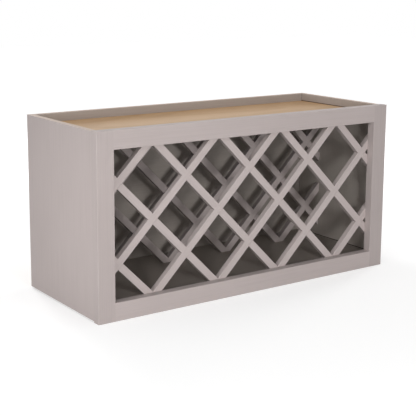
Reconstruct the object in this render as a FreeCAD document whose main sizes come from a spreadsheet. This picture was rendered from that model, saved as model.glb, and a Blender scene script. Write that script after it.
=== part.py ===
import FreeCAD, Part
import os
import re
import Sketcher
from FreeCAD import Placement, Rotation, Vector

# Wall wine rack: a plywood case behind a face frame, with two half-lapped lattices.
# Millimetres and degrees. X runs along the width, the front faces -Y, Z points up.
# The origin is at the middle of the base.

SIZES = {
    "cabinet_width": 762,
    "cabinet_height": 381,
    "side_depth": 279.4,
    "frame_thickness": 19.05,
    "stile_width": 38.1,
    "rail_width": 38.1,
    "frame_edge_radius": 1,
    "frame_foot": 3,
    "frame_lip": 1,
    "panel_thickness": 12.7,
    "groove_depth": 6.35,
    "top_recess": 19.05,
    "floor_recess": 16.5,
    "slat_width": 15.9,
    "slat_depth": 12.7,
    "slat_pitch": 115,
    "slat_angle": 45,
    "slat_edge_radius": 0.6,
    "slat_blank_length": 600,
    "rear_lattice_setback": 193,
    "dowel_diameter": 6.4,
    "dowel_length": 30,
    "dowel_chamfer": 0.8,
    "dowel_in_frame": 12,
    "dowel_spacing": 130,
    "rail_dowel_spacing": 220,
    "pocket_angle": 15,
    "pocket_diameter": 9.6,
    "pocket_reach": 12,
    "pocket_depth": 60,
    "pocket_spacing": 19,
    "pan_head_diameter": 8.6,
    "pan_head_height": 2.4,
    "flat_head_diameter": 8,
    "flat_head_height": 2.2,
    "screw_diameter": 4,
    "screw_length": 28,
    "screw_tip": 4,
    "driver_width": 1.3,
    "driver_span": 4.6,
    "driver_depth": 1.5,
    "back_screw_spacing": 165,
    "brad_diameter": 1.2,
    "brad_length": 25,
    "brad_bite": 9,
    "brad_inset": 6,
    "hanging_hole_diameter": 5,
    "hanging_hole_spacing": 406.4,
    "hanging_hole_height": 315,
}

# Planes and distances that follow from the sizes
PLACES = {
    "front": "-(side_depth + frame_thickness) / 2",
    "frame_back": "front + frame_thickness",
    "case_back": "(side_depth + frame_thickness) / 2",
    "back_inner": "case_back - panel_thickness",
    "side_outer": "cabinet_width / 2",
    "side_inner": "side_outer - panel_thickness",
    "groove_bottom": "side_inner + groove_depth",
    "stile_inner": "side_outer - stile_width",
    "case_bottom": "frame_foot",
    "case_top": "cabinet_height - frame_lip",
    "top_upper": "cabinet_height - top_recess",
    "ceiling": "top_upper - panel_thickness",
    "floor_upper": "floor_recess + panel_thickness",
    "middle": "cabinet_height / 2",
    "diamond": "slat_pitch / sin(slat_angle * 1deg)",
    "rear_lattice": "frame_back + rear_lattice_setback",
}

SLATS_EACH_WAY = 6
SCREWS_IN_ROW = 5
DOWELS_IN_ROW = 3
WORD = re.compile(r"[a-z][a-z_]*")
CLOSE = 1e-6

doc = FreeCAD.newDocument("WallWineRack")
sheet = doc.addObject("Spreadsheet::Sheet", "Sizes")
for row, (alias, value) in enumerate(SIZES.items(), start=1):
    sheet.set(f"A{row}", alias)
    sheet.set(f"B{row}", str(value))
    sheet.setAlias(f"B{row}", alias)
doc.recompute()

nodes = []


def expand(formula):
    """Writes a formula of named places out in cells of the sheet."""
    while any(word in PLACES for word in WORD.findall(formula)):
        formula = WORD.sub(lambda m: f"({PLACES[m[0]]})" if m[0] in PLACES else m[0], formula)
    return WORD.sub(lambda m: f"Sizes.{m[0]}" if m[0] in SIZES else m[0], formula)


def measure(formula):
    """The value of a formula at the sheet's present sizes."""
    return float(sheet.evalExpression(expand(formula)))


def bind(thing, **formulas):
    """Ties properties to formulas; x, y and z are the place of the thing."""
    for name, formula in formulas.items():
        path = f"Placement.Base.{name}" if name in "xyz" else name
        thing.setExpression(path, expand(formula))
    return thing


def make(kind, name, **settings):
    """Adds an object with plain settings, such as the shapes that a boolean works on."""
    thing = doc.addObject(kind, name)
    thing.Label = name
    for setting, value in settings.items():
        setattr(thing, setting, value)
    return thing


def finish(thing):
    """Marks an object as a piece of the rack."""
    nodes.append(thing)
    return thing


def board(name, x, y, z):
    """A block between two formulas along each axis."""
    block = make("Part::Box", name)
    bind(block, x=x[0], y=y[0], z=z[0])
    bind(block, Length=f"{x[1]} - ({x[0]})", Width=f"{y[1]} - ({y[0]})", Height=f"{z[1]} - ({z[0]})")
    return block


def cut_in_turn(name, base, tools):
    """Takes each tool out of the base; the last cut carries the piece's name."""
    for turn, tool in enumerate(tools, start=1):
        last = turn == len(tools)
        base = make("Part::Cut", name if last else f"{name}_cut_{turn}", Base=base, Tool=tool)
    return finish(base)


def rod(name, diameter, length, turn=Rotation()):
    """A round rod from its own origin along the turned Z axis."""
    cylinder = make("Part::Cylinder", name, Placement=Placement(Vector(), turn))
    return bind(cylinder, Radius=f"{diameter} / 2", Height=length)


def copy_of(blank, name, turn):
    """A placed copy of a fastener."""
    return make("Part::Compound", name, Links=[blank], Placement=Placement(Vector(), turn))


def centred(count):
    """Steps either side of zero: -1, 0 and 1 for three, -0.5 and 0.5 for two."""
    return [step - (count - 1) / 2 for step in range(count)]


# Face frame, drawn as one ring so that the eased edges meet at the corners
def rectangle(sketch, tag, width, height, base):
    """A rectangle on a base line, centred on the upright axis; it starts roughly drawn, 2 by 1."""
    corners = [Vector(-1, 1), Vector(1, 1), Vector(1, 2), Vector(-1, 2)]
    lines = [sketch.addGeometry(Part.LineSegment(a, b)) for a, b in zip(corners, corners[1:] + corners[:1])]
    bottom, right, top, left = lines
    for line, following in zip(lines, lines[1:] + lines[:1]):
        sketch.addConstraint(Sketcher.Constraint("Coincident", line, 2, following, 1))
    sketch.addConstraint(Sketcher.Constraint("Symmetric", bottom, 1, bottom, 2, -2))
    sketch.addConstraint(Sketcher.Constraint("Horizontal", top))
    for line in (left, right):
        sketch.addConstraint(Sketcher.Constraint("Vertical", line))
    spans = {
        "width": (width, Sketcher.Constraint("DistanceX", bottom, 1, bottom, 2, 2)),
        "height": (height, Sketcher.Constraint("DistanceY", right, 1, right, 2, 1)),
        "base": (base, Sketcher.Constraint("DistanceY", -1, 1, bottom, 1, 1)),
    }
    for part, (formula, constraint) in spans.items():
        sketch.renameConstraint(sketch.addConstraint(constraint), f"{tag}_{part}")
        sketch.setExpression(f"Constraints.{tag}_{part}", expand(formula))


def frame_ring():
    """The face frame in one piece, front edges eased outside and round the opening."""
    body = make("PartDesign::Body", "frame_ring")
    plane = next(f for f in body.Origin.OriginFeatures if f.Role == "XZ_Plane")
    sketch = body.newObject("Sketcher::SketchObject", "frame_outline")
    sketch.AttachmentSupport = [(plane, "")]
    sketch.MapMode = "FlatFace"
    rectangle(sketch, "outer", "cabinet_width", "cabinet_height", "0")
    rectangle(sketch, "opening", "cabinet_width - 2 * stile_width", "cabinet_height - 2 * rail_width",
              "rail_width")
    pad = body.newObject("PartDesign::Pad", "frame_pad")
    pad.Profile = sketch
    pad.setExpression("Length", expand("frame_thickness"))
    doc.recompute()
    face = -measure("frame_thickness")
    front_edges = [
        f"Edge{number}"
        for number, edge in enumerate(pad.Shape.Edges, start=1)
        if all(abs(vertex.Y - face) < CLOSE for vertex in edge.Vertexes)
    ]
    easing = body.newObject("PartDesign::Fillet", "frame_easing")
    easing.Base = (pad, front_edges)
    easing.setExpression("Radius", expand("frame_edge_radius"))
    bind(body, y="frame_back")
    return body


def wood_screw(name, head, top):
    """A wood screw along Z, a cross recess sunk from the top of its head, and its plain hole."""
    shank = rod(f"{name}_shank", "screw_diameter", "screw_length")
    tip = make("Part::Cone", f"{name}_tip", Radius2=0)
    bind(tip, Radius1="screw_diameter / 2", Height="screw_tip", z="screw_length")
    whole = make("Part::MultiFuse", f"{name}_whole", Shapes=[head, shank, tip])
    reach = ("-driver_span / 2", "driver_span / 2")
    slot = ("-driver_width / 2", "driver_width / 2")
    depth = (top, f"{top} + driver_depth")
    slots = [board(f"{name}_slot_1", reach, slot, depth), board(f"{name}_slot_2", slot, reach, depth)]
    cross = make("Part::MultiFuse", f"{name}_cross", Shapes=slots)
    return make("Part::Cut", name, Base=whole, Tool=cross), whole


def pocket_joints():
    """Angled screws from the back of each rail into the stiles, and the pockets they sit in."""
    head = bind(rod("pan_head", "pan_head_diameter", "pan_head_height"), z="-pan_head_height")
    blank, _ = wood_screw("pan_screw", head, "-pan_head_height")
    slope = measure("pocket_angle")
    along = "pocket_reach * cos(pocket_angle * 1deg)"
    across = "pocket_reach * sin(pocket_angle * 1deg)"
    screws = []
    pockets = []
    for rail, level in (("top", "cabinet_height - rail_width / 2"), ("bottom", "rail_width / 2")):
        for side, sign in (("left", -1), ("right", 1)):
            drive = Rotation(Vector(0, 0, 1), -sign * slope) * Rotation(Vector(0, 1, 0), sign * 90)
            withdraw = drive * Rotation(Vector(1, 0, 0), 180)
            for step in centred(2):
                spot = f"{rail}_{side}_{'lower' if step < 0 else 'upper'}"
                place = {
                    "x": f"{sign} * (stile_inner - {along})",
                    "y": f"frame_back - frame_thickness / 2 + {across}",
                    "z": f"{level} + {step} * pocket_spacing",
                }
                screws.append(bind(copy_of(blank, f"pocket_screw_{spot}", drive), **place))
                pocket = rod(f"pocket_{spot}", "pocket_diameter", "pocket_depth", withdraw)
                pockets.append(bind(pocket, **place))
    group = finish(make("Part::Compound", "frame_pocket_screws", Links=screws))
    return group, make("Part::Compound", "rail_pockets", Links=pockets)


def dowel_joints():
    """Dowels from the back of the frame into the front edges of the case."""
    pin = rod("dowel_pin", "dowel_diameter", "dowel_length", Rotation(Vector(1, 0, 0), -90))
    doc.recompute()
    rims = [n for n, edge in enumerate(pin.Shape.Edges, start=1) if edge.isClosed()]
    chamfer = measure("dowel_chamfer")
    blank = make("Part::Chamfer", "dowel", Base=pin, Edges=[(n, chamfer, chamfer) for n in rims])
    spots = []
    for step in centred(DOWELS_IN_ROW):
        for sign in (-1, 1):
            spots.append((f"{sign} * (side_outer - panel_thickness / 2)", f"middle + {step} * dowel_spacing"))
        for level in ("ceiling + panel_thickness / 2", "floor_upper - panel_thickness / 2"):
            spots.append((f"{step} * rail_dowel_spacing", level))
    dowels = [
        bind(copy_of(blank, f"dowel_{number}", Rotation()), x=x, y="frame_back - dowel_in_frame", z=z)
        for number, (x, z) in enumerate(spots, start=1)
    ]
    return finish(make("Part::Compound", "frame_dowels", Links=dowels))


def back_fixings():
    """Countersunk screws through the back into the edges of the top and bottom panels."""
    head = make("Part::Cone", "flat_head")
    bind(head, Radius1="flat_head_diameter / 2", Radius2="screw_diameter / 2", Height="flat_head_height")
    blank, hole = wood_screw("flat_screw", head, "0")
    drive = Rotation(Vector(1, 0, 0), 90)
    screws = []
    holes = []
    for level in ("ceiling + panel_thickness / 2", "floor_upper - panel_thickness / 2"):
        for step in centred(SCREWS_IN_ROW):
            place = {"x": f"{step} * back_screw_spacing", "y": "case_back", "z": level}
            number = len(screws) + 1
            screws.append(bind(copy_of(blank, f"back_screw_{number}", drive), **place))
            holes.append(bind(copy_of(hole, f"back_screw_hole_{number}", drive), **place))
    finish(make("Part::Compound", "back_screws", Links=screws))
    return make("Part::Compound", "back_screw_holes", Links=holes)


def hanging_holes():
    """Two holes for the wall screws, a stud spacing apart, high in the back panel."""
    through = Rotation(Vector(1, 0, 0), 90)
    holes = [
        bind(rod(f"hanging_hole_{number}", "hanging_hole_diameter", "panel_thickness", through),
             x=f"{step} * hanging_hole_spacing", y="case_back", z="hanging_hole_height")
        for number, step in enumerate(centred(2), start=1)
    ]
    return make("Part::Compound", "hanging_holes", Links=holes)


# Lattice slats: a rising slat passes (offset, middle) and climbs to +X, a falling one is its mirror
def slat_bar(name, sign, offset, depth, face, radius=0):
    """A long bar along one slat's line, before it is trimmed to the case."""
    bar = make("Part::Box", name)
    turn = f"{sign} * slat_angle"
    half = "slat_blank_length / 2"
    bar.Placement = Placement(Vector(), Rotation(Vector(0, 1, 0), -sign * measure("slat_angle")))
    bind(bar, Length="slat_blank_length", Width=depth, Height="slat_width", y=face)
    bind(bar, x=f"{offset} - {half} * cos({turn} * 1deg) + slat_width / 2 * sin({turn} * 1deg)")
    bind(bar, z=f"middle - {half} * sin({turn} * 1deg) - slat_width / 2 * cos({turn} * 1deg)")
    if not radius:
        return bar
    doc.recompute()
    length = measure("slat_blank_length")
    long_edges = [n for n, edge in enumerate(bar.Shape.Edges, start=1) if abs(edge.Length - length) < CLOSE]
    return make("Part::Fillet", f"{name}_eased", Base=bar, Edges=[(n, radius, radius) for n in long_edges])


def slat_ends(sign, offset):
    """Where a slat's line meets the case: the wall, and the place along that wall."""
    lower = f"({offset}) * {sign} + floor_upper - middle"
    upper = f"({offset}) * {sign} + ceiling - middle"
    if measure(lower) > -measure("side_inner"):
        yield "floor", lower
    else:
        yield "near", f"middle - side_inner - ({offset}) * {sign}"
    if measure(upper) < measure("side_inner"):
        yield "ceiling", upper
    else:
        yield "far", f"middle + side_inner - ({offset}) * {sign}"


def end_brad(name, sign, wall, along, depth):
    """A brad from inside a slat's end into the wall that it meets."""
    sunk = "brad_length - brad_bite"
    if wall in ("floor", "ceiling"):
        brad = rod(name, "brad_diameter", "brad_length")
        inward = 1 if wall == "floor" else -1
        start = "floor_upper - brad_bite" if wall == "floor" else f"ceiling - ({sunk})"
        return bind(brad, x=f"{sign} * ({along} + {inward} * brad_inset)", y=depth, z=start)
    brad = rod(name, "brad_diameter", "brad_length", Rotation(Vector(0, 1, 0), sign * 90))
    inward = 1 if wall == "near" else -1
    start = "-(side_inner + brad_bite)" if wall == "near" else f"side_inner - ({sunk})"
    return bind(brad, x=f"{sign} * ({start})", y=depth, z=f"{along} + {inward} * brad_inset")


def lattice(place, face, interior):
    """Half-lapped slats each way across the case, and the brads that hold their ends."""
    radius = measure("slat_edge_radius")
    offsets = [f"{step} * diamond" for step in centred(SLATS_EACH_WAY)]
    ways = {"rising": (1, face), "falling": (-1, f"{face} + slat_depth / 2")}
    crossed_by = {"rising": "falling", "falling": "rising"}
    laps = {}
    brads = []
    for way, (sign, kept_half) in ways.items():
        bars = [
            slat_bar(f"{place}_{way}_lap_{number}", sign, offset, "slat_depth / 2", kept_half)
            for number, offset in enumerate(offsets, start=1)
        ]
        laps[way] = make("Part::Compound", f"{place}_{way}_laps", Links=bars)
        for offset in offsets:
            for wall, along in slat_ends(sign, offset):
                name = f"{place}_brad_{len(brads) + 1}"
                brads.append(end_brad(name, sign, wall, along, f"{kept_half} + slat_depth / 4"))
    group = finish(make("Part::Compound", f"{place}_lattice_brads", Links=brads))
    for way, (sign, _) in ways.items():
        for number, offset in enumerate(offsets, start=1):
            name = f"{place}_{way}_slat_{number}"
            bar = slat_bar(f"{name}_bar", sign, offset, "slat_depth", face, radius)
            trimmed = make("Part::MultiCommon", f"{name}_trimmed", Shapes=[bar, interior])
            cut_in_turn(name, trimmed, [laps[crossed_by[way]], group])
    return group


def face_frame(pocket_screws, pockets, dowels):
    """Two stiles with the rails between them, cut from one ring."""
    ring = frame_ring()
    depth = ("front", "frame_back")
    stile_run = ("0", "cabinet_height")
    rail_run = ("-stile_inner", "stile_inner")
    top_rail_rise = ("cabinet_height - rail_width", "cabinet_height")
    spans = {
        "left_stile": board("left_stile_span", ("-side_outer", "-stile_inner"), depth, stile_run),
        "right_stile": board("right_stile_span", ("stile_inner", "side_outer"), depth, stile_run),
        "top_rail": board("top_rail_span", rail_run, depth, top_rail_rise),
        "bottom_rail": board("bottom_rail_span", rail_run, depth, ("0", "rail_width")),
    }
    for name, span in spans.items():
        member = make("Part::MultiCommon", f"{name}_blank", Shapes=[ring, span])
        tools = [pocket_screws, dowels]
        if name.endswith("rail"):
            tools.append(pockets)
        cut_in_turn(name, member, tools)


def case(dowels, back_holes, brads):
    """Top, bottom and back panels, let into grooves and rabbets in the two sides."""
    panel_run = ("-groove_bottom", "groove_bottom")
    panel_depth = ("frame_back", "back_inner")
    side_run = ("frame_back", "case_back")
    height = ("case_bottom", "case_top")
    top = board("top_panel_blank", panel_run, panel_depth, ("ceiling", "top_upper"))
    bottom = board("bottom_panel_blank", panel_run, panel_depth, ("floor_recess", "floor_upper"))
    back = board("back_panel_blank", panel_run, ("back_inner", "case_back"), height)
    cut_in_turn("top_panel", top, [dowels, back_holes] + brads)
    cut_in_turn("bottom_panel", bottom, [dowels, back_holes] + brads)
    cut_in_turn("back_panel", back, [back_holes, hanging_holes()])
    sides = {
        "left_side": board("left_side_blank", ("-side_outer", "-side_inner"), side_run, height),
        "right_side": board("right_side_blank", ("side_inner", "side_outer"), side_run, height),
    }
    for name, blank in sides.items():
        cut_in_turn(name, blank, [top, bottom, back, dowels] + brads)


def build():
    """Fasteners first, because the pieces that they pass through are cut to fit them."""
    pocket_screws, pockets = pocket_joints()
    dowels = dowel_joints()
    back_holes = back_fixings()
    interior = board("case_interior", ("-side_inner", "side_inner"), ("frame_back", "back_inner"),
                     ("floor_upper", "ceiling"))
    brads = [lattice("front", "frame_back", interior), lattice("rear", "rear_lattice", interior)]
    face_frame(pocket_screws, pockets, dowels)
    case(dowels, back_holes, brads)
    doc.recompute()


def export():
    """Checks every object, then writes one file for each piece."""
    failed = [o.Label for o in doc.Objects if {"Invalid", "Error"} & set(o.State)]
    if failed:
        raise RuntimeError(f"not made: {failed}")
    for node in nodes:
        shape = node.Shape
        if shape.isNull() or not shape.isValid() or not shape.Solids:
            raise RuntimeError(f"bad shape: {node.Label}")
    os.makedirs("parts", exist_ok=True)
    for node in nodes:
        node.Shape.exportStep(f"parts/{node.Label}.step")
        print(f"{node.Label}: {len(node.Shape.Solids)} solid(s), {node.Shape.Volume / 1000:.2f} cm3")


build()
export()
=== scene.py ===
import math

import bpy
from mathutils import Matrix, Vector


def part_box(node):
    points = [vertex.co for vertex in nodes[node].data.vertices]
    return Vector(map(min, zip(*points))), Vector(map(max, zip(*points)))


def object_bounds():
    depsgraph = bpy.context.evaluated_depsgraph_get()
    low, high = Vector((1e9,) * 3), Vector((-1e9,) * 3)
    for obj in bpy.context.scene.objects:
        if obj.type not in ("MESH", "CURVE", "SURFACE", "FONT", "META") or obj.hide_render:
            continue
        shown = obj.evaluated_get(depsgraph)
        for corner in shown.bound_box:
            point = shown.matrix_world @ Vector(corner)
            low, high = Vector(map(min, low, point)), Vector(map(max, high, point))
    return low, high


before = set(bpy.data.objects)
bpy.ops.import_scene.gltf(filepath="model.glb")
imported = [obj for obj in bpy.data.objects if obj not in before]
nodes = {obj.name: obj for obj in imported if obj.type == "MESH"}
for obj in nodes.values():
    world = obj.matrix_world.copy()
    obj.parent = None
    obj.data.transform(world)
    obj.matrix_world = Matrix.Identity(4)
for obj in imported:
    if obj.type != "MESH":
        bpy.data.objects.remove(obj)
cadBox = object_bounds()
bpy.ops.object.select_all(action="DESELECT")
print("frame loaded:", len(nodes), "nodes")

# lines of the rack that the finishes follow, all read from the frame
rackMiddle = (cadBox[0] + cadBox[1]) / 2
slatNames = [n for n in nodes if "_slat_" in n]
topPanelMiddle = sum(corner.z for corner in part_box("top_panel")) / 2
groovedPanels = {"floor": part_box("bottom_panel")[1].z, "top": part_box("top_panel")[1].z}  # upper faces
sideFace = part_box("right_side")[0].x  # inner face of the right side; the left one mirrors it

# turns that lay the grain along a piece
quarterTurn = math.radians(90)
slatTurn = math.radians(45)
alongX = (0, 0, 0)
alongZ = (0, quarterTurn, 0)
slatTurns = {"rising": (0, slatTurn, 0), "falling": (0, -slatTurn, 0)}


class Shade:  # one socket of a node tree, so that sums of sockets read as sums
    def __init__(self, tree, socket=None):
        self.tree = tree
        self.socket = socket

    def node(self, kind, settings=None, sockets=None, out=0):  # any node: settings first, then sockets
        made = self.tree.nodes.new("ShaderNode" + kind)
        for name, value in (settings or {}).items():
            setattr(made, name, value)
        feed(made, sockets or {})
        return Shade(self.tree, made.outputs[out])

    def maths(self, operation, *others):
        return self.node("Math", {"operation": operation}, dict(enumerate((self, *others))))

    def __add__(self, other):
        return self.maths("ADD", other)

    def __sub__(self, other):
        return self.maths("SUBTRACT", other)

    def __rsub__(self, other):
        return self.node("Math", {"operation": "SUBTRACT"}, {0: other, 1: self})

    def __mul__(self, other):
        return self.maths("MULTIPLY", other)

    def __truediv__(self, other):
        return self.maths("DIVIDE", other)

    def __abs__(self):
        return self.maths("ABSOLUTE")

    __radd__, __rmul__ = __add__, __mul__


def feed(node, sockets):  # values and links into a node's sockets
    for name, value in sockets.items():
        if isinstance(value, Shade):
            value.tree.links.new(value.socket, node.inputs[name])
        else:
            node.inputs[name].default_value = value


def ease(value, low, high):  # 0 at low, 1 at high, smooth between
    sockets = {"Value": value, "From Min": low, "From Max": high}
    return value.node("MapRange", {"interpolation_type": "SMOOTHSTEP"}, sockets)


def tint(value, low, high, strength):  # 0 at low, strength at high
    return ease(value, low, high) * strength


def swing(noise, middle=0.5):  # how far a value between 0 and 1 is from its middle
    return noise - middle


mixSocket = {"first": 6, "second": 7, "result": 2}  # the Mix node's sockets for colours


def mixColour(factor, first, second, way="MIX"):
    first, second = [c if isinstance(c, Shade) else (*c, 1) for c in (first, second)]
    sockets = {0: factor, mixSocket["first"]: first, mixSocket["second"]: second}
    return factor.node("Mix", {"data_type": "RGBA", "blend_type": way}, sockets, mixSocket["result"])


def stretched(place, turn, waves, detail=4, rough=0.55):  # noise drawn out along a turned axis
    turned = place.node("Mapping", sockets={"Vector": place, "Rotation": turn})
    drawn = place.node("Mapping", sockets={"Vector": turned, "Scale": waves})
    sockets = {"Vector": drawn, "Scale": 1, "Detail": detail, "Roughness": rough}
    return place.node("TexNoise", sockets=sockets)


def along(vector, axis):  # one axis of a place or a direction
    return vector.node("SeparateXYZ", sockets={0: vector}, out=axis)


def facing(place, axis):  # 1 or -1 on faces square to the axis, 0 on faces along it
    return along(place.node("NewGeometry", out="True Normal"), axis)


def pointing(value, start=0.4, full=0.6):  # 1 on faces that point mostly that way
    return ease(value, start, full)


def bumped(height, strength, depth):
    return height.node("Bump", sockets={"Strength": strength, "Distance": depth, "Height": height})


def newMaterial(name):  # the material, its shader and the object's own coordinates
    material = bpy.data.materials.new(name)
    material.use_nodes = True
    tree = material.node_tree
    return material, tree.nodes["Principled BSDF"], Shade(tree).node("TexCoord", out="Object")


# satin paint over sanded wood: the wood's lines show faintly, and edges are a little lighter, partly from
# a worn coat and partly as a painted highlight
paint = {
    "colour": (0.520, 0.454, 0.440),
    "deep": (0.476, 0.414, 0.400),  # in the lines of the wood
    "thinAndHighlit": (0.560, 0.495, 0.478),  # along the edges: a worn, thin coat, and a painted highlight
    "roughness": 0.5,
    "gloss": 0.2,
    "edge": 0.0022,  # how far the lighter line reaches in
    "edgeBend": (0.02, 0.25),  # turn of the surface where the lighter line starts, and where it is full
    "edgeBreaks": (0.38, 0.66),  # part of the cloud that the lighter line shows in
    "lines": (7, 420, 420),  # waves of grain along and across, each metre
    "lineTint": (0.42, 0.7, 0.5),  # where in the noise it starts and is full, and how strong it is
    "cloud": (5, 9, 9),  # slow drift of the coat
    "cloudTint": (0.3, 0.7, 0.35),
    "peel": 900,  # waves of spray texture each metre
    "rough": {"lines": 0.12, "peel": 0.1, "wornAndHighlit": 0.08},  # what each changes in the roughness
    "relief": {"lines": 0.7, "peel": 0.3},
    "bump": (0.25, 0.00012),  # strength, and depth in metres
    "joint": 0.0006,  # fine line where the sides meet the face frame
    "jointShows": 0.3,
    "crack": (0.200, 0.172, 0.160),
    "stiles": {"left": 0.975, "right": 0.945},  # painted light and shade: how light each piece's coat is drawn beside the top rail's, for how light falls on it
    # painted light and shade as well: the low rail drawn lighter, the front slats lighter and the rear
    # slats darker
    "lowRail": 1.035,
    "slats": {"front": 1.07, "rear": 0.905},
    "slatShadeUpDown": {"front": (0.97, 0.75), "rear": (0.62, 0.75)},  # painted shade: how much darker the faces that point up, and down, are drawn
    "ledgeShade": (0.78, 1),  # painted shade on the low rail's upper face, inside the opening
}


def paintCoat(place, turn, tone=1):  # colour, roughness and height of the paint
    coat, deep, thinAndHighlit = [[c * tone for c in paint[name]] for name in ("colour", "deep", "thinAndHighlit")]
    rough, relief = paint["rough"], paint["relief"]
    lines = stretched(place, turn, paint["lines"])
    cloud = stretched(place, turn, paint["cloud"], detail=2)
    peel = place.node("TexNoise", sockets={"Vector": place, "Scale": paint["peel"], "Detail": 2})
    normal = place.node("NewGeometry", out="Normal")
    rounded = place.node("Bevel", {"samples": 6}, {"Radius": paint["edge"]})
    bend = place.node("VectorMath", {"operation": "DOT_PRODUCT"}, {0: normal, 1: rounded}, out="Value")
    # the lighter line along edges: worn coat, and a painted highlight
    wornAndHighlit = ease(1 - bend, *paint["edgeBend"]) * ease(cloud, *paint["edgeBreaks"])
    colour = mixColour(tint(lines, *paint["lineTint"]) + tint(cloud, *paint["cloudTint"]), coat, deep)
    colour = mixColour(wornAndHighlit, colour, thinAndHighlit)
    roughness = paint["roughness"] + swing(lines) * rough["lines"] + swing(peel) * rough["peel"]
    roughness = roughness - wornAndHighlit * rough["wornAndHighlit"]
    return colour, roughness, lines * relief["lines"] + peel * relief["peel"]


def paintMaterial(name, turn, tone=1, paintedShade=(1, 1)):
    material, shader, place = newMaterial(name)
    colour, roughness, height = paintCoat(place, turn, tone)
    for way, shade in zip((1, -1), paintedShade):  # painted shade on faces that point up, then down
        if shade != 1:
            shadedFaces = pointing(facing(place, "Z") * way)
            colour = mixColour(shadedFaces, colour, (shade, shade, shade), "MULTIPLY")
    feed(shader, {"Base Color": colour, "Roughness": roughness, "Specular IOR Level": paint["gloss"]})
    feed(shader, {"Normal": bumped(height, *paint["bump"])})
    return material


# plywood: a pale rotary-cut face, and bare edges that show the plies
ply = {
    "pale": (0.632, 0.444, 0.282),
    "tan": (0.558, 0.373, 0.216),
    "brown": (0.377, 0.230, 0.118),
    "deep": (0.87, 0.80, 0.70),  # painted shade: how the top's face is darkened from the middle to the back
    "shadeReach": 0.65,  # how much of the way back the painted shade takes to be full
    "drift": (1.0, 4.5, 4.5),  # slow waves of a peeled veneer, along and across, each metre
    "wander": (4, 45, 45),  # how its lines waver
    "figure": {"drift": 95, "wander": 2.2},  # lines drawn in each wave
    "figureTint": (-0.3, 1, 0.2),
    "patches": (1.6, 3.5, 3.5),  # pale and tan
    "patchRange": (0.3, 0.7),
    "fibre": (16, 1100, 1100),
    "fibreTint": (0.38, 0.72, 0.2),
    "pores": (80, 2200, 2200),
    "poreRange": (0.64, 0.74),
    "poreShows": 0.3,
    "endGrain": (0.605, 0.492, 0.420),
    "longGrain": (0.690, 0.585, 0.522),
    "glue": (0.380, 0.260, 0.170),
    "glueRange": (0.40, 0.5),  # from the middle of a layer
    "glueShows": 0.45,
    "plies": 9,
    "plyChange": (0.49, 0.51),  # halfway through each pair of layers
    "sway": (40, 40, 40),  # how the layers wander
    "swayDepth": 0.25,  # in layers
    "speck": (900, 900, 900),
    "speckTint": (0.45, 0.75, 0.25),
    "relief": {"fibre": 0.6, "figure": 0.1, "pores": 0.6, "speck": 0.6, "glue": 0.5, "paint": 0.4},
    "bump": (0.3, 0.0003),
    "roughness": 0.7,
    "gloss": 0.15,
    "lacquer": 0.2,  # clear coat on the bare faces
    "lacquerRough": 0.4,
}


def plyFace(place, turn):  # colour and height of a bare face
    drawn, relief = ply["figure"], ply["relief"]
    drift = stretched(place, turn, ply["drift"], detail=2, rough=0.4)
    wander = stretched(place, turn, ply["wander"], detail=3)
    figure = (drift * drawn["drift"] + wander * drawn["wander"]).maths("SINE")
    patches = stretched(place, turn, ply["patches"], detail=2)
    fibre = stretched(place, turn, ply["fibre"], detail=3)
    pores = ease(stretched(place, turn, ply["pores"], detail=1), *ply["poreRange"])
    colour = mixColour(ease(patches, *ply["patchRange"]), ply["pale"], ply["tan"])
    colour = mixColour(tint(figure, *ply["figureTint"]), colour, ply["brown"])
    colour = mixColour(tint(fibre, *ply["fibreTint"]), colour, ply["brown"])
    colour = mixColour(pores * ply["poreShows"], colour, ply["brown"])
    return colour, fibre * relief["fibre"] + figure * relief["figure"] - pores * relief["pores"]


def plyEdge(place, across, low, thick):  # colour and height of a bare edge; across is the thickness
    relief = ply["relief"]
    sway = stretched(place, alongX, ply["sway"], detail=2)
    layer = (across - low) / thick * ply["plies"] + swing(sway) * ply["swayDepth"]
    other = ease((layer / 2).maths("FRACT"), *ply["plyChange"])  # every second layer
    glue = ease(abs(swing(layer.maths("FRACT"))), *ply["glueRange"])
    speck = stretched(place, alongX, ply["speck"], detail=3)
    colour = mixColour(other, ply["longGrain"], ply["endGrain"])
    colour = mixColour(tint(speck, *ply["speckTint"]), colour, ply["brown"])
    colour = mixColour(glue * ply["glueShows"], colour, ply["glue"])
    return colour, speck * relief["speck"] - glue * relief["glue"]


# the grey inside the case, drawn darker than the outside paint as painted shade, and its open joints
inside = {
    "back_panel": (0.337, 0.302, 0.274),
    "left_side": (0.395, 0.358, 0.325),
    "right_side": (0.395, 0.358, 0.325),
    "top_panel": (0.325, 0.291, 0.264),
    "bottom_panel": (0.295, 0.261, 0.236),
    "stripShadeAndBounce": (0.404, 0.349, 0.314),  # inner faces that stand above the top panel: painted shade, with warm bounce light off the wood painted in
    "fade": 0.001,  # half the step between the two, inside the top panel's groove
    "lineTint": (0.3, 0.7, 0.08),  # darker in the lines of the wood
    "seam": 0.0019,  # open joint above each grooved panel
    "seamCore": 0.6,  # how much of it is fully dark
    "corner": 0.0016,  # open joint at the back corners
    "cornerAbove": 0.5,  # how much of it shows above the top panel
    "gap": {  # colours of the open joints
        "floor": (0.030, 0.026, 0.023),
        "top": (0.060, 0.036, 0.022),
        "corner": (0.200, 0.173, 0.155),
    },
}


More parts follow.
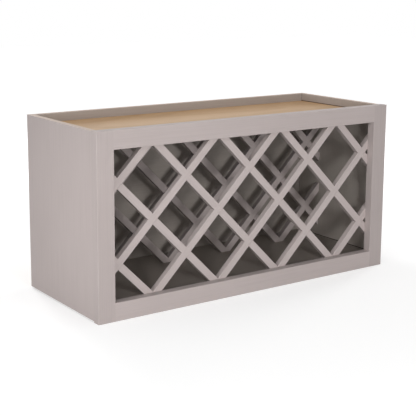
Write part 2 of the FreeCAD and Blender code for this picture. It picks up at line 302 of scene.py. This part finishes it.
def panelMaterial(node, axis, turn, bareSide=0, inSide=0):
    # axis is the thickness, and bareSide and inSide are signs along it
    material, shader, place = newMaterial(node + "_finish")
    low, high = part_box(node)
    number = "XYZ".index(axis)
    height = along(place, "Z")
    face = facing(place, axis)
    onEdge = 1 - pointing(abs(face))
    above = ease(height, topPanelMiddle - inside["fade"], topPanelMiddle + inside["fade"])
    paintColour, paintRough, paintHeight = paintCoat(place, turn)
    # painted shade inside the case; painted shade and bounce light on the strips above the top panel
    insideShadeColour = mixColour(above, inside[node], inside["stripShadeAndBounce"])
    insideLines = tint(paintHeight, *inside["lineTint"])
    insideShadeColour = mixColour(insideLines, insideShadeColour, inside["gap"]["floor"])
    if node in ("left_side", "right_side"):  # dark joints over the panels, a faint one at the stile
        for panel, level in groovedPanels.items():
            seam = 1 - ease(abs(height - level), inside["seam"] * inside["seamCore"], inside["seam"])
            insideShadeColour = mixColour(seam, insideShadeColour, inside["gap"][panel])
        behind = along(place, "Y") - low.y
        joint = (1 - ease(behind, paint["joint"] / 2, paint["joint"])) * paint["jointShows"]
        paintColour = mixColour(joint, paintColour, paint["crack"])
    if node == "back_panel":  # its joints with the sides
        reach = abs(along(place, "X")) - sideFace
        seam = ease(reach, -inside["corner"], -inside["corner"] / 2)
        seam = seam * (1 - above * (1 - inside["cornerAbove"]))
        insideShadeColour = mixColour(seam, insideShadeColour, inside["gap"]["corner"])
    # inner faces take the painted shade
    paintColour = mixColour(pointing(face * inSide), paintColour, insideShadeColour)
    edgeColour, edgeHeight = plyEdge(place, along(place, axis), low[number], high[number] - low[number])
    colour = mixColour(onEdge, paintColour, edgeColour)
    relief = paintHeight * (1 - onEdge) * ply["relief"]["paint"] + edgeHeight * onEdge
    raw = onEdge  # where no paint is
    if bareSide:
        bare = pointing(face * bareSide)
        faceColour, faceHeight = plyFace(place, turn)
        if node == "top_panel":  # painted shade: darker towards the back
            shadedBack = ease(along(place, "Y"), 0, high.y * ply["shadeReach"])
            faceColour = mixColour(shadedBack, faceColour, ply["deep"], "MULTIPLY")
        colour = mixColour(bare, colour, faceColour)
        relief = relief * (1 - bare) + faceHeight * bare
        raw = raw + bare
        feed(shader, {"Coat Weight": bare * ply["lacquer"], "Coat Roughness": ply["lacquerRough"]})
    roughness = paintRough * (1 - raw) + ply["roughness"] * raw
    gloss = ply["gloss"] if bareSide else paint["gloss"]
    feed(shader, {"Base Color": colour, "Roughness": roughness, "Specular IOR Level": gloss})
    feed(shader, {"Normal": bumped(relief, *ply["bump"])})
    return material


# zinc-plated screws and brads
steel = {
    "bright": (0.62, 0.61, 0.57),
    "dull": (0.36, 0.35, 0.32),
    "cloud": (260, 260, 260),
    "tarnish": (0.4, 0.72),  # part of the cloud that is dull
    "scratch": (300, 4000, 300),
    "scratchTurn": (0, 0.4, 0),
    "roughness": 0.34,
    "rough": {"tarnish": 0.2, "scratch": 0.15},
}


def steelMaterial():
    material, shader, place = newMaterial("zincSteel")
    rough = steel["rough"]
    tarnish = ease(stretched(place, alongX, steel["cloud"], detail=5), *steel["tarnish"])
    scratch = stretched(place, steel["scratchTurn"], steel["scratch"], detail=2)
    roughness = steel["roughness"] + tarnish * rough["tarnish"] + swing(scratch) * rough["scratch"]
    colour = mixColour(tarnish, steel["bright"], steel["dull"])
    feed(shader, {"Base Color": colour, "Metallic": 1, "Roughness": roughness})
    return material


# beech dowels
beech = {
    "pale": (0.66, 0.48, 0.31),
    "dark": (0.48, 0.30, 0.17),
    "fleck": (700, 90, 700),
    "fleckRange": (0.55, 0.72),
    "roughness": 0.6,
    "fleckRough": 0.1,
}


def beechMaterial():
    material, shader, place = newMaterial("beechDowel")
    fleck = ease(stretched(place, alongX, beech["fleck"], detail=3), *beech["fleckRange"])
    colour = mixColour(fleck, beech["pale"], beech["dark"])
    feed(shader, {"Base Color": colour, "Roughness": beech["roughness"] + fleck * beech["fleckRough"]})
    return material


def wear(node, material):
    nodes[node].data.materials.clear()
    nodes[node].data.materials.append(material)


# slat paint per lattice: painted light at the front, painted shade at the rear
slatPaint = {}
for lattice, tone in paint["slats"].items():
    for way, turn in slatTurns.items():
        name = lattice + way.title() + "Paint"
        slatPaint[lattice, way] = paintMaterial(name, turn, tone, paint["slatShadeUpDown"][lattice])
wear("top_rail", paintMaterial("topRailPaint", alongX))
# the low rail: drawn lighter, with painted shade on its upper face
wear("bottom_rail", paintMaterial("lowRailPaint", alongX, paint["lowRail"], paint["ledgeShade"]))
for side, tone in paint["stiles"].items():
    wear(side + "_stile", paintMaterial(side + "StilePaint", alongZ, tone))
for node in slatNames:
    wear(node, slatPaint[tuple(node.split("_")[:2])])
wear("left_side", panelMaterial("left_side", "X", alongZ, inSide=1))
wear("right_side", panelMaterial("right_side", "X", alongZ, inSide=-1))
wear("back_panel", panelMaterial("back_panel", "Y", alongX, bareSide=1, inSide=-1))
wear("top_panel", panelMaterial("top_panel", "Z", alongX, bareSide=1, inSide=-1))
wear("bottom_panel", panelMaterial("bottom_panel", "Z", alongX, bareSide=-1, inSide=1))
zinc = steelMaterial()
for node in ("frame_pocket_screws", "back_screws", "front_lattice_brads", "rear_lattice_brads"):
    wear(node, zinc)
wear("frame_dowels", beechMaterial())
print("finishes on:", len(nodes), "nodes")

# pale floor and world: seen white, and the floor still shaded by the rack
studio = {
    "floorSize": 14,
    "floorColour": (0.55, 0.55, 0.55, 1),
    "floorRough": 0.9,
    "mottle": 3,  # waves of dull and less dull floor each metre
    "mottleRough": 0.05,
    "lift": 0.505,  # white added to the floor near the rack
    "farLift": 0.82,
    "liftReach": (0.6, 2.2),  # metres from the rack's middle where it starts to grow, and is full
    "fill": 0.282,  # light of the world on the rack
}


def showingRays(tree):  # 1 on rays that show the background: to the camera, off gloss or through glass
    names = ("Is Camera Ray", "Is Glossy Ray", "Is Transmission Ray")
    camera, glossy, through = [Shade(tree).node("LightPath", out=name) for name in names]
    return camera.maths("MAXIMUM", glossy).maths("MAXIMUM", through)


def paleFloor():
    bpy.ops.mesh.primitive_plane_add(size=studio["floorSize"], location=(0, 0, cadBox[0].z))
    floor = bpy.context.object
    floor.name = "paleFloor"
    material, shader, place = newMaterial("paleFloor")
    mottle = place.node("TexNoise", sockets={"Vector": place, "Scale": studio["mottle"], "Detail": 2})
    away = place.node("VectorMath", {"operation": "LENGTH"}, {0: place}, out="Value")
    lift = studio["lift"] + tint(away, *studio["liftReach"], studio["farLift"] - studio["lift"])
    glow = mixColour(showingRays(material.node_tree) * lift, (0, 0, 0), (1, 1, 1))
    roughness = studio["floorRough"] + mottle * studio["mottleRough"]
    feed(shader, {"Base Color": studio["floorColour"], "Roughness": roughness})
    feed(shader, {"Emission Color": glow, "Emission Strength": 1})
    floor.data.materials.append(material)


def whiteWorld():
    world = bpy.data.worlds.new("whiteStudio")
    world.use_nodes = True
    bpy.context.scene.world = world
    tree = world.node_tree
    strength = studio["fill"] + showingRays(tree) * (1 - studio["fill"])
    feed(tree.nodes["Background"], {"Color": (1, 1, 1, 1), "Strength": strength})


# soft lamps: degrees round to the left of the front, degrees up, metres away, metres wide, watts
lamps = {
    "frontLamp": {"round": 13, "up": 10, "reach": 2.2, "size": 0.4, "power": 16.4},
    "leftLamp": {"round": 70, "up": 9, "reach": 2.6, "size": 0.5, "power": 12.5},
    "nearLamp": {"round": 78, "up": 2, "reach": 0.8, "size": 0.3, "power": 0.45},
    "highLamp": {"round": 45, "up": 25, "reach": 2.2, "size": 0.8, "power": 4.05},
    "rearLamp": {"round": 180, "up": 18, "reach": 2.2, "size": 0.5, "power": 19.6},
    "rightLamp": {"round": -102, "up": 13, "reach": 2.2, "size": 0.6, "power": 15},
    "overLamp": {"round": 0, "up": 85, "reach": 2.0, "size": 1.4, "power": 9.4},
}


def areaLamp(name, lamp):
    turned, raised = math.radians(lamp["round"]), math.radians(lamp["up"])
    level = math.cos(raised)
    toward = Vector((-math.sin(turned) * level, -math.cos(turned) * level, math.sin(raised)))
    data = bpy.data.lights.new(name, "AREA")
    data.shape = "DISK"
    data.size = lamp["size"]
    data.energy = lamp["power"]
    light = bpy.data.objects.new(name, data)
    bpy.context.scene.collection.objects.link(light)
    light.location = rackMiddle + toward * lamp["reach"]
    light.rotation_euler = toward.to_track_quat("Z", "Y").to_euler()


# the photograph's viewpoint, in the rack's frame
viewpoint = {
    "place": (-1.302, -1.8082, 0.670),
    "yaw": 35.4,  # degrees to the right of straight in
    "pitch": 10.62,  # degrees down
    "roll": 0.37,
    "focal": 1016 / 416,  # focal length over the picture's width, both in pixels
    "shift": -0.10,
}


def photoCamera():
    data = bpy.data.cameras.new("photoCamera")
    data.lens = viewpoint["focal"] * data.sensor_width
    data.shift_y = viewpoint["shift"]
    camera = bpy.data.objects.new("photoCamera", data)
    bpy.context.scene.collection.objects.link(camera)
    turn = Matrix.Rotation(math.radians(-viewpoint["yaw"]), 3, "Z")
    turn = turn @ Matrix.Rotation(quarterTurn - math.radians(viewpoint["pitch"]), 3, "X")
    turn = turn @ Matrix.Rotation(math.radians(viewpoint["roll"]), 3, "Z")
    camera.location = viewpoint["place"]
    camera.rotation_euler = turn.to_euler()
    bpy.context.scene.camera = camera


paleFloor()
whiteWorld()
for name, lamp in lamps.items():
    areaLamp(name, lamp)
photoCamera()
bpy.context.scene.view_settings.view_transform = "Standard"
print("studio set")
